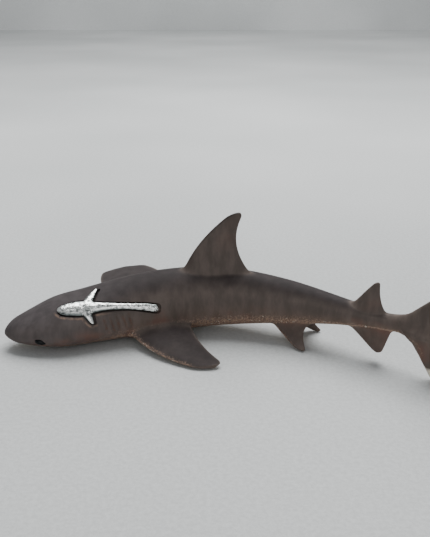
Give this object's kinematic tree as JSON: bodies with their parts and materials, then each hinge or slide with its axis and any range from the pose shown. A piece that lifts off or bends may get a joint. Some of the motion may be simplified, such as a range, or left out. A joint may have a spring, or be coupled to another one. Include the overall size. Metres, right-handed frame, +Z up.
{
  "type": "shark figurine",
  "caption": "Moulded shark figurine in a curved swimming pose, with a bright metal dart inlaid in its near flank; stands free on a shelf.",
  "frame": {"origin": "under the middle of the bounding box, on the surface the shark rests on", "axes": "+X towards the tail, -X towards the snout, -Y towards the inlaid left flank, +Z up"},
  "size_m": [0.1432, 0.0858, 0.0429],
  "materials": {
    "moulded_pvc": "painted PVC, dark grey-brown over a tan belly line, low sheen",
    "bright_metal": "bright silver-coloured metal with a hammered surface"
  },
  "bodies": {
    "root": {"shark_body": "moulded_pvc", "silver_inlay": "bright_metal"}
  },
  "joints": []
}
